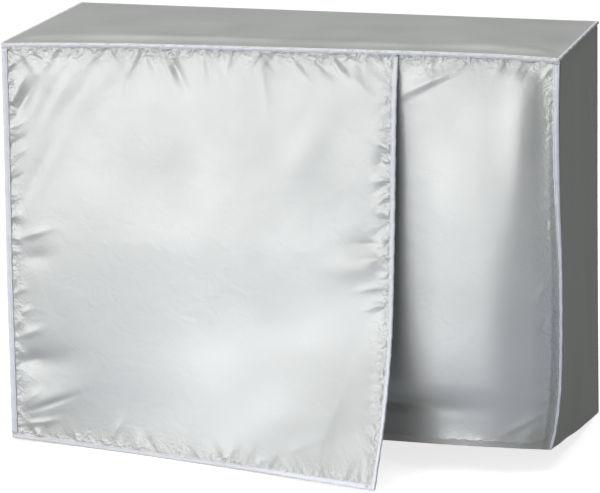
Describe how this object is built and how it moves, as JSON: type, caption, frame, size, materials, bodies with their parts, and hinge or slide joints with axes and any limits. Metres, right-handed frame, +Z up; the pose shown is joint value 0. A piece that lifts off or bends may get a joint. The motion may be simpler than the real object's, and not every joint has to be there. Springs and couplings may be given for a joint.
{
  "type": "air conditioner cover",
  "caption": "Box-shaped silver cloth cover for an outdoor air conditioner, open at the bottom, with a large front flap that hangs free at one side.",
  "frame": {"origin": "middle of the underside of the top panel, where it rests on the machine", "axes": "+X to the right seen from the front, the front with its flap faces -Y, +Z up"},
  "size_m": [0.813, 0.4913, 0.6013],
  "materials": {
    "silver_cloth": "silver-coated polyester cloth with a satin sheen",
    "binding_tape": "pale woven binding tape, stitched along its inner edge"
  },
  "bodies": {
    "root": {"top_panel": "silver_cloth", "front_flap": "silver_cloth", "front_panel": "silver_cloth", "right_side_panel": "silver_cloth", "left_side_panel": "silver_cloth", "back_panel": "silver_cloth", "top_front_tape": "binding_tape", "top_right_tape": "binding_tape", "top_back_tape": "binding_tape", "top_left_tape": "binding_tape", "front_left_tape": "binding_tape", "front_right_tape": "binding_tape", "back_right_tape": "binding_tape", "back_left_tape": "binding_tape", "flap_right_tape": "binding_tape", "flap_bottom_tape": "binding_tape"}
  },
  "joints": []
}
